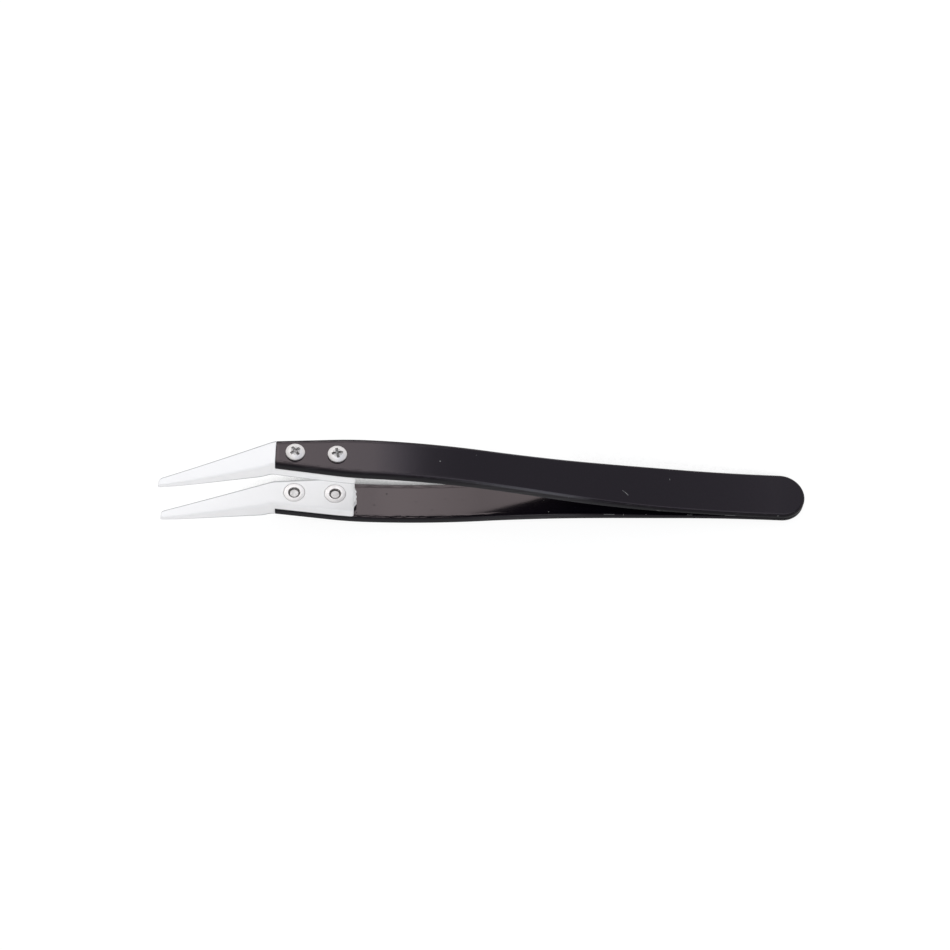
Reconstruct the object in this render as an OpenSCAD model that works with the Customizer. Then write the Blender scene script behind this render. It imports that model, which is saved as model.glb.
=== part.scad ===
// Ceramic-tipped tweezers, lying on a bench as they rest between uses.
// Two bent spring arms are welded together at the heel. Each arm carries a stepped white
// ceramic tip on its inner face, held by two small screws and two flush sleeve nuts.
//
// The pieces are drawn in a working frame: origin at the round end of the heel, x forward along
// the middle plane, y towards the side that the tips turn to, z in the direction the arms open.
// The last module lays the finished tweezers down on the surface z = 0.

/* [Arm outline] */
// Width over the round heel
heel_w = 9.75; // [8.5:0.05:11]
// Width at the grip
grip_w = 8.2; // [7:0.05:9]
// Width at the square nose, where the ceramic takes over
nose_w = 5.5; // [5.2:0.05:6.4]
// Distance from the round end at which the heel starts to narrow
waist_from = 27; // [20:1:32]
// Length over which the heel narrows to the grip
waist_len = 38; // [30:1:44]
// Length of the nose's tapered sides
nose_taper_len = 15; // [12:0.5:18]
// Length of the soft blend at the start of that taper
nose_blend_len = 8; // [4:0.5:10]

/* [Arm thickness] */
// Thickness through the heel and the spring
spring_t = 1.15; // [1:0.05:1.5]
// Thickness from the grip to the nose
grip_t = 1.95; // [1.6:0.05:2.4]
// Distance from the round end at which the arm starts to thicken
thicken_from = 21; // [16:1:28]
// Length over which the arm thickens
thicken_len = 33; // [24:1:40]
// Rounding of the outer edges
outer_edge_r = 0.5; // [0.3:0.05:0.6]
// Rounding of the inner edges
inner_edge_r = 0.3; // [0.15:0.05:0.35]

/* [Arm bend] */
// Length of the flat heel pad
heel_flat = 6.5; // [6.5:0.1:10]
// Radius of the outward bend in the spring
spring_bend_r = 275; // [240:5:310]
// Angle of the outward bend
spring_bend = 9.65; // [8.5:0.05:11]
// Length of the straight flank between the bends
flank_len = 13; // [8:0.5:18]
// Radius of the bend that turns the arm back at the grip
grip_bend_r = 150; // [120:5:180]
// Angle of the bend at the grip
grip_bend = 8.7; // [7.5:0.05:9.2]
// Straight length of bare arm behind the ceramic plate
bare_len = 3.3; // [3:0.1:10]

/* [Ceramic tips] */
// Length of the plate under the arm
plate_len = 16; // [15:0.1:20]
// Thickness of the plate
plate_t = 2.4; // [2:0.05:3]
// Reach of the tip beyond the nose of the arm
tip_reach = 22.7; // [18:0.1:30]
// Width of the blunt end
tip_w = 1.3; // [1:0.05:2]
// Thickness of the blunt end
tip_t = 0.65; // [0.5:0.05:1.2]
// Sideways turn of the tips at the elbow
elbow_angle = 15.4; // [0:0.2:20]
// Length of the soft blend at the elbow
elbow_blend_len = 0.8; // [0.4:0.1:3]
// Rounding of the ceramic's long edges
ceramic_edge_r = 0.4; // [0.1:0.05:0.6]
// Rounding of the blunt end's corner on the outer face, which runs out at the inner face
tip_corner_r = 0.8; // [0.3:0.05:0.9]
// Radius of the moulding mark on the plate's rear end
gate_r = 1.3; // [0.9:0.1:1.8]
// How far that mark stands out
gate_proud = 0.5; // [0.2:0.05:0.8]

/* [Screws] */
// Nominal diameter of the screws
screw_d = 2; // [1.6:0.1:2.3]
// Diameter of the pan head
head_d = 3.8; // [3.4:0.1:4.4]
// Height of the pan head
head_h = 0.9; // [0.7:0.05:1.2]
// Height of the straight rim under the dome
head_rim_h = 0.4; // [0.3:0.05:0.5]
// Length of the cross recess across the head
recess_len = 2.2; // [1.6:0.05:2.4]
// Width of the recess's slots
recess_w = 0.6; // [0.3:0.05:0.7]
// Depth of the recess
recess_depth = 0.5; // [0.3:0.05:0.6]
// Distance from the arm's nose to the front screw
front_screw_back = 3.8; // [3.4:0.1:4.4]
// Distance between the two screws
screw_pitch = 8.3; // [7.5:0.1:8.8]

/* [Sleeve nuts] */
// Diameter of the nut's flush flange
nut_d = 4.3; // [4:0.05:4.5]
// Thickness of the flange
nut_flange_t = 0.9; // [0.6:0.05:1.2]
// Diameter of the threaded sleeve
sleeve_d = 3; // [2.8:0.05:3.4]
// Diameter of the chamfered mouth around the screw's end
nut_mouth_d = 2.5; // [2.3:0.05:2.9]
// How far the screw's end lies below the flange's face
screw_end_sunk = 0.3; // [0.1:0.05:0.5]

/* [Heel welds] */
// Diameter of a weld nugget
weld_d = 3; // [2:0.1:3]
// Thickness of a nugget, half of it in each arm
weld_t = 0.9; // [0.4:0.05:1]
// Distance of the welds from the round end
weld_back = 4.8; // [3.5:0.1:4.9]
// Distance between the two welds across the heel
weld_pitch = 4.6; // [3.4:0.1:5]

/* [Fits] */
// Gap all round a screw in the arm's hole
screw_gap = 0.1; // [0.05:0.01:0.2]
// Gap all round a screw in its nut
thread_gap = 0.02; // [0.01:0.01:0.05]
// Gap all round a nut in the ceramic
nut_gap = 0.05; // [0.02:0.01:0.1]
// Gap all round a weld nugget in its pocket
weld_gap = 0.08; // [0.06:0.01:0.1]
// Gap between the arm's nose and the ceramic's shoulder
shoulder_gap = 0.05; // [0.05:0.01:0.15]

/* [Hidden] */

// Fineness of the true circles and of the arms' and tips' facets
$fn = 64;
side_steps = 42;
heel_steps = 21;
inner_round_steps = 3;
outer_round_steps = 4;
plate_steps = 6;
tip_round_steps = 4;
// A cut runs this far past the surface that it opens
cut_past = 1;
// Angles of the two rings that round the edges of the plate's end face
end_round_angles = [25, 57.5];
// Rounding that is left on the plate's long edges where its end face starts
least_edge_r = 0.02;

black_coat = [0.13, 0.13, 0.14];
white_ceramic = [0.94, 0.95, 0.96];
plated_steel = [0.78, 0.78, 0.8];
weld_steel = [0.5, 0.5, 0.52];

// Ends of the stretches of the arm's bent profile, along x and above the heel pad
nose_slope = spring_bend - grip_bend;
heel_r = heel_w / 2;
spring_end_x = heel_flat + spring_bend_r * sin(spring_bend);
spring_end_z = spring_bend_r * (1 - cos(spring_bend));
flank_end_x = spring_end_x + flank_len * cos(spring_bend);
flank_end_z = spring_end_z + flank_len * sin(spring_bend);
grip_centre_x = flank_end_x + grip_bend_r * sin(spring_bend);
grip_centre_z = flank_end_z - grip_bend_r * cos(spring_bend);
grip_end_x = grip_centre_x - grip_bend_r * sin(nose_slope);
grip_end_z = grip_centre_z + grip_bend_r * cos(nose_slope);
arm_len = grip_end_x + (bare_len + plate_len) * cos(nose_slope);
overall_len = arm_len + tip_reach;

function square(v) = v * v;
function ease(u) = let (c = min(1, max(0, u))) c * c * (3 - 2 * c);

// A ramp of the given slope that starts at zero through a soft blend of the given length
function soft_ramp(x, slope, blend) =
    x < -blend / 2 ? 0
    : x < blend / 2 ? slope * square(x + blend / 2) / (2 * blend)
    : slope * x;

// Height of the arm's outer face above the heel pad's, a chain of arcs and straight lines
function rise(x) =
    x < heel_flat ? 0
    : x < spring_end_x ? spring_bend_r - sqrt(square(spring_bend_r) - square(x - heel_flat))
    : x < flank_end_x ? spring_end_z + (x - spring_end_x) * tan(spring_bend)
    : x < grip_end_x ? grip_centre_z + sqrt(square(grip_bend_r) - square(grip_centre_x - x))
    : grip_end_z + (x - grip_end_x) * tan(nose_slope);

function thickness(x) = spring_t + (grip_t - spring_t) * ease((x - thicken_from) / thicken_len);
function outer_z(x) = spring_t + rise(x);
function inner_z(x) = outer_z(x) - thickness(x);

function half_width(x) =
    heel_w / 2
    - (heel_w - grip_w) / 2 * ease((x - waist_from) / waist_len)
    - soft_ramp(x - arm_len + nose_taper_len, (grip_w - nose_w) / 2 / nose_taper_len, nose_blend_len);

// Plan outline of the arm, moved inwards by inset: nose, one side, round heel, other side, nose
side_x = [for (i = [0:side_steps]) arm_len - i * (arm_len - heel_r) / side_steps];
function arm_outline(inset) = concat(
    [for (i = [0:side_steps]) [side_x[i], half_width(side_x[i]) - inset]],
    [for (i = [1:heel_steps - 1])
        let (a = 90 + 180 * i / heel_steps)
        [heel_r + (heel_r - inset) * cos(a), (heel_r - inset) * sin(a)]],
    [for (i = [side_steps:-1:0]) [side_x[i], inset - half_width(side_x[i])]]
);

// Rings of the arm from its inner face to its outer face, round both edges
inner_rings = [for (i = [0:inner_round_steps])
    let (a = 90 * i / inner_round_steps)
    [for (p = arm_outline(inner_edge_r * (1 - sin(a))))
        [p.x, p.y, inner_z(p.x) + inner_edge_r * (1 - cos(a))]]];
outer_rings = [for (i = [0:outer_round_steps])
    let (a = 90 * i / outer_round_steps)
    [for (p = arm_outline(outer_edge_r * (1 - cos(a))))
        [p.x, p.y, outer_z(p.x) - outer_edge_r * (1 - sin(a))]]];

// One bent and tapered arm blank with rounded edges, above the middle plane
module arm_blank() {
    rings = concat(inner_rings, outer_rings);
    n = len(rings[0]);
    last = len(rings) - 1;
    walls = [for (k = [0:last - 1]) for (i = [0:n - 2]) for (half = [0, 1])
        half == 0
            ? [k * n + i, (k + 1) * n + i, k * n + i + 1]
            : [k * n + i + 1, (k + 1) * n + i, (k + 1) * n + i + 1]];
    inner_face = [for (i = [0:n / 2 - 2]) [i, i + 1, n - 2 - i, n - 1 - i]];
    outer_face = [for (i = [0:n / 2 - 2])
        [last * n + i, last * n + n - 1 - i, last * n + n - 2 - i, last * n + i + 1]];
    nose_face = concat(
        [for (k = [0:last]) k * n + n - 1],
        [for (k = [last:-1:0]) k * n]
    );
    polyhedron(
        points = [for (ring = rings) for (p = ring) p],
        faces = concat(walls, inner_face, outer_face, [nose_face]),
        convexity = 6
    );
}

// The seat frame: origin on the arm's inner face at the nose, x forward along that face,
// z outwards through the arm. Tips, screws and nuts are drawn in it.
seat_top = grip_t * cos(nose_slope);
module on_seat() {
    translate([arm_len, 0, inner_z(arm_len)])
        rotate([0, -nose_slope, 0])
            children();
}
front_screw_x = -front_screw_back;
rear_screw_x = -front_screw_back - screw_pitch;

module arm() {
    difference() {
        arm_blank();
        on_seat()
            for (x = [front_screw_x, rear_screw_x])
                translate([x, 0, -cut_past])
                    cylinder(d = screw_d + 2 * screw_gap, h = seat_top + 2 * cut_past);
        for (side = [-1, 1])
            translate([weld_back, side * weld_pitch / 2, -cut_past])
                cylinder(d = weld_d + 2 * weld_gap, h = cut_past + weld_t / 2);
    }
}

// A closed body through a list of rings with the same number of points
module loft(rings) {
    n = len(rings[0]);
    last = len(rings) - 1;
    walls = [for (k = [0:last - 1]) for (i = [0:n - 1]) for (half = [0, 1])
        half == 0
            ? [k * n + i, (k + 1) * n + i, k * n + (i + 1) % n]
            : [k * n + (i + 1) % n, (k + 1) * n + i, (k + 1) * n + (i + 1) % n]];
    polyhedron(
        points = [for (ring = rings) for (p = ring) p],
        faces = concat(
            [[for (i = [0:n - 1]) i]],
            walls,
            [[for (i = [n - 1:-1:0]) last * n + i]]
        ),
        convexity = 6
    );
}

// A rectangle with rounded corners across the x axis, between two y and two z values. Its corners
// are y1 z1, y0 z1, y0 z0 and y1 z0. The second can be set back sideways, so that y0's wall leans.
corner_steps = 3;
// A corner's rounding takes at most this share of the sides that it joins
corner_share = 0.4;
function rounded_ring(x, y0, y1, z0, z1, r, set_back = 0) =
    let (c = min(r, corner_share * (y1 - y0 - set_back), corner_share * (z1 - z0)))
    [for (corner = [0:3]) for (i = [0:corner_steps])
        let (
            a = 90 * (corner + i / corner_steps),
            cy = corner == 0 || corner == 3 ? y1 - c : y0 + c + (corner == 1 ? set_back : 0),
            cz = corner < 2 ? z1 - c : z0 + c
        )
        [x, cy + c * cos(a), cz + c * sin(a)]];

// Middle line, half width and outer face of the free tip, in the seat frame
function tip_mid(x) = soft_ramp(x - elbow_blend_len / 2, tan(elbow_angle), elbow_blend_len);
function tip_half(x) = (nose_w + (tip_w - nose_w) * x / tip_reach) / 2;
function tip_top(x) = seat_top + (tip_t - plate_t - seat_top) * x / tip_reach;

function plate_ring(x, inset) =
    let (w = half_width(arm_len + x * cos(nose_slope)) - inset)
    rounded_ring(x, -w, w, -plate_t + inset, -inset, max(ceramic_edge_r - inset, least_edge_r));
function tip_ring(x, set_back) =
    rounded_ring(x, tip_mid(x) - tip_half(x), tip_mid(x) + tip_half(x),
        -plate_t, tip_top(x), ceramic_edge_r, set_back);

// The stepped ceramic: a plate under the arm, a shoulder at the arm's nose, and the free tip
plate_from = -plate_len + ceramic_edge_r;
tip_round_from = tip_reach - tip_corner_r;
module tip_blank() {
    end_rings = [for (a = end_round_angles)
        plate_ring(-plate_len + ceramic_edge_r * (1 - cos(a)), ceramic_edge_r * (1 - sin(a)))];
    plate_rings = [for (i = [0:plate_steps]) plate_ring(plate_from - plate_from * i / plate_steps, 0)];
    elbow_rings = [for (x = [shoulder_gap, elbow_blend_len / 2, elbow_blend_len]) tip_ring(x, 0)];
    corner_rings = [for (i = [0:tip_round_steps])
        let (a = 90 * i / tip_round_steps)
        tip_ring(tip_round_from + tip_corner_r * sin(a), tip_corner_r * (1 - cos(a)))];
    loft(concat(end_rings, plate_rings, elbow_rings, corner_rings));
}

module tip() {
    difference() {
        union() {
            tip_blank();
            translate([gate_r - gate_proud - plate_len, 0, ceramic_edge_r - plate_t])
                cylinder(r = gate_r, h = plate_t - 2 * ceramic_edge_r);
        }
        for (x = [front_screw_x, rear_screw_x])
            translate([x, 0, -plate_t]) {
                translate([0, 0, -cut_past])
                    cylinder(d = sleeve_d + 2 * nut_gap, h = plate_t + 2 * cut_past);
                translate([0, 0, -cut_past])
                    cylinder(d = nut_d + 2 * nut_gap, h = cut_past + nut_flange_t);
            }
    }
}

// Pan-head screw with a cross recess, its head on the arm's outer face and its end in the nut
screw_tip_d = 0.85 * screw_d;
module screw() {
    shank_end = screw_end_sunk - plate_t;
    end_chamfer = (screw_d - screw_tip_d) / 2;
    dome_h = head_h - head_rim_h;
    dome_r = (square(head_d / 2) + square(dome_h)) / (2 * dome_h);
    difference() {
        union() {
            intersection() {
                translate([0, 0, seat_top])
                    cylinder(d = head_d, h = head_h);
                translate([0, 0, seat_top + head_h - dome_r])
                    sphere(r = dome_r, $fn = 96);
            }
            translate([0, 0, shank_end + end_chamfer])
                cylinder(d = screw_d, h = seat_top - shank_end - end_chamfer);
            translate([0, 0, shank_end])
                cylinder(d1 = screw_tip_d, d2 = screw_d, h = end_chamfer);
        }
        for (turn = [0, 90])
            rotate([0, 0, turn])
                translate([-recess_len / 2, -recess_w / 2, seat_top + head_h - recess_depth])
                    cube([recess_len, recess_w, head_h]);
    }
}

// Sleeve nut: a flange flush with the ceramic's inner face and a threaded sleeve behind it
module nut() {
    bore_d = screw_d + 2 * thread_gap;
    mouth_h = (nut_mouth_d - bore_d) / 2;
    difference() {
        translate([0, 0, -plate_t]) {
            cylinder(d = nut_d, h = nut_flange_t);
            cylinder(d = sleeve_d, h = plate_t);
        }
        translate([0, 0, -plate_t - cut_past])
            cylinder(d = bore_d, h = plate_t + 2 * cut_past);
        translate([0, 0, -plate_t])
            cylinder(d1 = nut_mouth_d, d2 = bore_d, h = mouth_h);
    }
}

// How the tweezers lie: on the lower arm's grip bend and on the heel's lower edge
rest_tilt = max([for (x = [flank_end_x:0.05:grip_end_x]) atan(rise(x) / (x - outer_edge_r))]);
lift = outer_z(0) * cos(rest_tilt) + outer_edge_r * sin(rest_tilt);

// Centre of the whole outline, which stands over the origin
tip_end_z = inner_z(arm_len) - plate_t + tip_reach * sin(nose_slope);
front_x = (arm_len + tip_reach * cos(nose_slope)) * cos(rest_tilt) + (tip_end_z + tip_t) * sin(rest_tilt);
rear_x = (outer_z(0) - outer_edge_r) * sin(rest_tilt);
turned_y = tip_mid(tip_reach) + tip_half(tip_reach);
centre_x = (front_x - rear_x) / 2;
centre_y = (turned_y - heel_w / 2) / 2;

module as_it_lies() {
    translate([centre_x, centre_y, lift])
        rotate([0, rest_tilt, 0])
            rotate([0, 0, 180])
                children();
}

// The lower half is the upper half mirrored in the middle plane
module upper() {
    as_it_lies() children();
}
module lower() {
    as_it_lies() mirror([0, 0, 1]) children();
}

module at_front_screw() {
    on_seat() translate([front_screw_x, 0, 0]) children();
}
module at_rear_screw() {
    on_seat() translate([rear_screw_x, 0, 0]) children();
}

module upper_arm() { color(black_coat) upper() arm(); }
module lower_arm() { color(black_coat) lower() arm(); }
module upper_tip() { color(white_ceramic) upper() on_seat() tip(); }
module lower_tip() { color(white_ceramic) lower() on_seat() tip(); }
module upper_front_screw() { color(plated_steel) upper() at_front_screw() screw(); }
module upper_rear_screw() { color(plated_steel) upper() at_rear_screw() screw(); }
module lower_front_screw() { color(plated_steel) lower() at_front_screw() screw(); }
module lower_rear_screw() { color(plated_steel) lower() at_rear_screw() screw(); }
module upper_front_nut() { color(plated_steel) upper() at_front_screw() nut(); }
module upper_rear_nut() { color(plated_steel) upper() at_rear_screw() nut(); }
module lower_front_nut() { color(plated_steel) lower() at_front_screw() nut(); }
module lower_rear_nut() { color(plated_steel) lower() at_rear_screw() nut(); }

// A weld nugget lies half in each arm's heel pad
module weld_nugget(side) {
    color(weld_steel)
        as_it_lies()
            translate([weld_back, side * weld_pitch / 2, -weld_t / 2])
                cylinder(d = weld_d, h = weld_t);
}
module left_spot_weld() { weld_nugget(1); }
module right_spot_weld() { weld_nugget(-1); }

upper_arm();
lower_arm();
upper_tip();
lower_tip();
upper_front_screw();
upper_rear_screw();
lower_front_screw();
lower_rear_screw();
upper_front_nut();
upper_rear_nut();
lower_front_nut();
lower_rear_nut();
left_spot_weld();
right_spot_weld();
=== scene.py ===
# %% [markdown]
# Ceramic-tipped tweezers, lying on a bench.
#
# Two black coated spring arms are welded together at the heel. Each arm carries a stepped white
# ceramic tip on its inner face, held by two small screws and two flush sleeve nuts. The packed
# model is loaded first: its bodies carry every piece that this script makes, and its boxes say
# where each piece belongs.

import math
from functools import partialmethod
from types import SimpleNamespace

import bmesh
import bpy
from mathutils import Matrix, Vector, noise


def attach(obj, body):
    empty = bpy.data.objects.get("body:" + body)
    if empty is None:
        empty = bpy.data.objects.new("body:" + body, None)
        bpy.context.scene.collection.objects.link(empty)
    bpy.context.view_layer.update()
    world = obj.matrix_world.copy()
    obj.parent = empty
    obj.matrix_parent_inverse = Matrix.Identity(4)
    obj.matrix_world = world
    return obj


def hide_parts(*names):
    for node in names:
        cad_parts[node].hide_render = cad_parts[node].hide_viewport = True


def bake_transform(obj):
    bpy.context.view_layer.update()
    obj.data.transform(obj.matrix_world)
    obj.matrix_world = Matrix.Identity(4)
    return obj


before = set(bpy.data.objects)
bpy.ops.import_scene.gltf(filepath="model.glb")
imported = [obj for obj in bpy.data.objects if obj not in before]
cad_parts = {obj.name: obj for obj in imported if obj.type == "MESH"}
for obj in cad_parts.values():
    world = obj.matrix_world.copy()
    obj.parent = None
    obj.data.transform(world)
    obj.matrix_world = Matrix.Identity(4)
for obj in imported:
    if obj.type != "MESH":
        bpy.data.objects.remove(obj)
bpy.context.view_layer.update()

# %% [markdown]
# Node trees are easier to read as sums than as a web of nodes. A small class holds a socket and
# takes part in Python arithmetic, so `1 - mask` or `r * sine(a)` adds the Math nodes by itself,
# in modelling trees and materials alike. Any other node comes from one method, `add`.

# %% Sums on node sockets
class Value:
    """A node's output, usable in Python sums."""

    def __init__(self, graph, socket):
        self.graph = graph
        self.socket = socket

    def sum(self, operation, *others):
        return self.graph.add("ShaderNodeMath", [self, *others], operation=operation)

    def __rsub__(self, other):
        return -self + other

    __add__ = __radd__ = partialmethod(sum, "ADD")
    __sub__ = partialmethod(sum, "SUBTRACT")
    __mul__ = __rmul__ = partialmethod(sum, "MULTIPLY")
    __truediv__ = partialmethod(sum, "DIVIDE")
    __pow__ = partialmethod(sum, "POWER")
    __neg__ = partialmethod(sum, "MULTIPLY", -1)
    __abs__ = partialmethod(sum, "ABSOLUTE")
    __lt__ = partialmethod(sum, "LESS_THAN")
    __gt__ = partialmethod(sum, "GREATER_THAN")


class Graph:
    """A node tree that is filled from Python."""

    def __init__(self, tree):
        self.tree = tree

    def add(self, kind, inputs=(), output=0, **settings):
        """Adds a node with the values or links of its sockets, and its settings."""
        node = self.tree.nodes.new(kind)
        for name, setting in settings.items():
            if name == "stops":
                set_stops(node.color_ramp, setting)
            elif name == "items":
                while len(node.index_switch_items) < setting:
                    node.index_switch_items.new()
            else:
                setattr(node, name, setting)
        named = inputs.items() if isinstance(inputs, dict) else enumerate(inputs)
        for name, given in named:
            for one in given if isinstance(given, list) else [given]:
                if isinstance(one, Value):
                    self.tree.links.new(one.socket, node.inputs[name])
                else:
                    node.inputs[name].default_value = one
        return None if output is None else Value(self, node.outputs[output])


def set_stops(ramp, stops):
    """Gives a colour ramp its stops, each a place and a level of grey."""
    while len(ramp.elements) < len(stops):
        ramp.elements.new(1)
    for element, (place, shade) in zip(ramp.elements, stops):
        element.position = place
        element.color = (shade, shade, shade, 1)


# %% [markdown]
# The rules that shape the arms have to work twice: as plain numbers, to find where the screws
# sit, and as sockets, inside the modelling tree. These helpers take either kind.

# %% Helpers that take numbers or sockets
def above(value, low):
    return value.sum("MAXIMUM", low) if isinstance(value, Value) else max(value, low)


def clip(value, low, high):
    kept = above(value, low)
    return kept.sum("MINIMUM", high) if isinstance(kept, Value) else min(kept, high)


def sine(degrees):
    angle = degrees * math.radians(1)
    return angle.sum("SINE") if isinstance(angle, Value) else math.sin(angle)


def cosine(degrees):
    return sine(degrees + 90)


def tangent(degrees):
    return sine(degrees) / cosine(degrees)


def pick(test, yes, no):
    """yes where the test is 1, and no where it is 0."""
    return no + test * (yes - no)


def ease(share):
    """A soft step from 0 to 1."""
    c = clip(share, 0, 1)
    return c * c * (3 - 2 * c)


def soft_ramp(x, slope, blend):
    """A ramp that starts at zero through a soft blend."""
    c = clip(x + blend / 2, 0, blend)
    return slope * (c * c / (2 * blend) + above(x - blend / 2, 0))


# %% [markdown]
# The arm is one strip of spring steel. Seen from above it has a full round heel, a wider first
# third, a slim grip and a tapered square nose. Seen from the side it leaves the heel flat, bends
# outwards on a large radius, runs straight, bends back at the grip and ends almost parallel to
# its twin. It gets thicker from the spring to the grip. A section swept along a curve would stay
# the same all the way, so width, thickness and rise are rules of the distance x instead. Sizes
# are in millimetres: x runs forward from the round end, z in the direction that the arms open.

# %% Sizes and shape of an arm
ARM = {
    "heel_width": 9.75,
    "grip_width": 8.2,
    "nose_width": 5.5,
    "waist_from": 27,
    "waist_length": 38,
    "nose_taper": 15,
    "nose_blend": 8,
    "spring_thickness": 1.15,
    "grip_thickness": 1.95,
    "thicken_from": 21,
    "thicken_length": 33,
    "outer_edge_radius": 0.5,
    "inner_edge_radius": 0.2,
    "nose_edge_radius": 0.12,
    "heel_flat": 6.5,
    "spring_radius": 275,
    "spring_angle": 9.65,
    "flank_length": 13,
    "grip_radius": 150,
    "grip_angle": 8.7,
    "bare_length": 3.3,
    "plate_length": 16,
}


def with_ends(strip):
    """Adds the places where the stretches of the bent profile end."""
    strip.nose_slope = strip.spring_angle - strip.grip_angle
    strip.spring_end = strip.heel_flat + strip.spring_radius * sine(strip.spring_angle)
    strip.flank_end = strip.spring_end + strip.flank_length * cosine(strip.spring_angle)
    turned_back = sine(strip.spring_angle) - sine(strip.nose_slope)
    strip.grip_end = strip.flank_end + strip.grip_radius * turned_back
    straight = strip.bare_length + strip.plate_length
    strip.length = strip.grip_end + straight * cosine(strip.nose_slope)
    return strip


def rise(strip, x):
    """Height of the outer face above the heel pad's: arc, straight, arc, straight."""
    spring = clip(x - strip.heel_flat, 0, strip.spring_end - strip.heel_flat)
    flank = clip(x - strip.spring_end, 0, strip.flank_end - strip.spring_end)
    grip_start = strip.grip_radius * sine(strip.spring_angle)
    grip = grip_start - clip(x - strip.flank_end, 0, strip.grip_end - strip.flank_end)
    nose = above(x - strip.grip_end, 0)
    spring_drop = (strip.spring_radius * strip.spring_radius - spring * spring) ** 0.5
    return (
        strip.spring_radius - spring_drop
        + flank * tangent(strip.spring_angle)
        + (strip.grip_radius * strip.grip_radius - grip * grip) ** 0.5
        - strip.grip_radius * cosine(strip.spring_angle)
        + nose * tangent(strip.nose_slope)
    )


def thickness(strip, x):
    step = strip.grip_thickness - strip.spring_thickness
    return strip.spring_thickness + step * ease((x - strip.thicken_from) / strip.thicken_length)


def outer_z(strip, x):
    return strip.spring_thickness + rise(strip, x)


def inner_z(strip, x):
    return outer_z(strip, x) - thickness(strip, x)


def half_width(strip, x):
    slimmer = (strip.heel_width - strip.grip_width) / 2
    waist = slimmer * ease((x - strip.waist_from) / strip.waist_length)
    slope = (strip.grip_width - strip.nose_width) / 2 / strip.nose_taper
    nose = soft_ramp(x - strip.length + strip.nose_taper, slope, strip.nose_blend)
    return strip.heel_width / 2 - waist - nose


arm = with_ends(SimpleNamespace(**ARM))
print(f"arm length {arm.length:.3f}, nose slope {arm.nose_slope:.2f} degrees")

# %% [markdown]
# The tweezers lie tipped back a little: on the lower arm's grip bend and on the lower edge of
# the heel. One matrix lays them down on the bench, in metres. The lower half gets the same
# matrix with a mirror before it. The seat frame starts on the arm's inner face at the nose, and
# carries tip, screws and nuts.

# %% How the tweezers lie
MM = 0.001
TIP_REACH = 22.7
TIP_WIDTH = 1.3
TIP_THICKNESS = 0.65
PLATE_THICKNESS = 2.4
ELBOW_ANGLE = 15.4
ELBOW_BLEND = 0.8
FINE_STEP = 0.05


def tip_mid(x):
    return soft_ramp(x - ELBOW_BLEND / 2, tangent(ELBOW_ANGLE), ELBOW_BLEND)


def tip_half(x):
    return (arm.nose_width + (TIP_WIDTH - arm.nose_width) * x / TIP_REACH) / 2


grip_steps = int((arm.grip_end - arm.flank_end) / FINE_STEP)
touching = [arm.flank_end + i * FINE_STEP for i in range(grip_steps + 1)]
rest_tilt = max(math.atan(rise(arm, x) / (x - arm.outer_edge_radius)) for x in touching)
lift = outer_z(arm, 0) * math.cos(rest_tilt) + arm.outer_edge_radius * math.sin(rest_tilt)
tip_end_z = inner_z(arm, arm.length) - PLATE_THICKNESS + TIP_REACH * sine(arm.nose_slope)
front_x = (arm.length + TIP_REACH * cosine(arm.nose_slope)) * math.cos(rest_tilt)
front_x += (tip_end_z + TIP_THICKNESS) * math.sin(rest_tilt)
rear_x = (outer_z(arm, 0) - arm.outer_edge_radius) * math.sin(rest_tilt)
middle_y = (tip_mid(TIP_REACH) + tip_half(TIP_REACH) - arm.heel_width / 2) / 2
centre = Vector(((front_x - rear_x) / 2, middle_y, lift))

LAID = (
    Matrix.Scale(MM, 4)
    @ Matrix.Translation(centre)
    @ Matrix.Rotation(rest_tilt, 4, "Y")
    @ Matrix.Rotation(math.pi, 4, "Z")
)
HALVES = {"upper": LAID, "lower": LAID @ Matrix.Diagonal((1, 1, -1, 1))}
SEAT = Matrix.Translation((arm.length, 0, inner_z(arm, arm.length))) @ Matrix.Rotation(
    -math.radians(arm.nose_slope), 4, "Y"
)
SEAT_TOP = arm.grip_thickness * cosine(arm.nose_slope)
print(f"rest tilt {math.degrees(rest_tilt):.4f} degrees, centre", centre.to_tuple(3))

# %% [markdown]
# A modelling tree gets one named input for each size, so a piece can be resized without reading
# its nodes. These helpers make such a tree and the groups of nodes that all trees share.

# %% Helpers for modelling trees
WELD = 0.0005
CRISP_FROM = 38
ROUND_SIDES = 48


def label(key):
    return key.replace("_", " ").capitalize()


def modelling_tree(name, sizes, from_mesh=False):
    """A tree with a named input for each size, and those inputs as values."""
    tree = bpy.data.node_groups.new(name, "GeometryNodeTree")
    new_socket = tree.interface.new_socket
    if from_mesh:
        new_socket("Blank", in_out="INPUT", socket_type="NodeSocketGeometry")
    for key, size in sizes.items():
        socket = new_socket(label(key), in_out="INPUT", socket_type="NodeSocketFloat")
        socket.default_value = size
    new_socket("Mesh", in_out="OUTPUT", socket_type="NodeSocketGeometry")
    graph = Graph(tree)
    entry = tree.nodes.new("NodeGroupInput")
    keys = [*sizes, "blank"] if from_mesh else sizes
    return graph, SimpleNamespace(**{key: Value(graph, entry.outputs[label(key)]) for key in keys})


def numbered_grid(graph, columns, rows):
    """A flat grid, with each point's column and row counted from 0."""
    grid = graph.add("GeometryNodeMeshGrid", {"Vertices X": columns, "Vertices Y": rows})
    index = graph.add("GeometryNodeInputIndex")
    column = ((index + 0.5) / rows).sum("FLOOR")
    return grid, column, index - column * rows


def choose(graph, number, options):
    """The option with that number, counted from 0."""
    inputs = [number, *options]
    return graph.add("GeometryNodeIndexSwitch", inputs, data_type="FLOAT", items=len(options))


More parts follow.
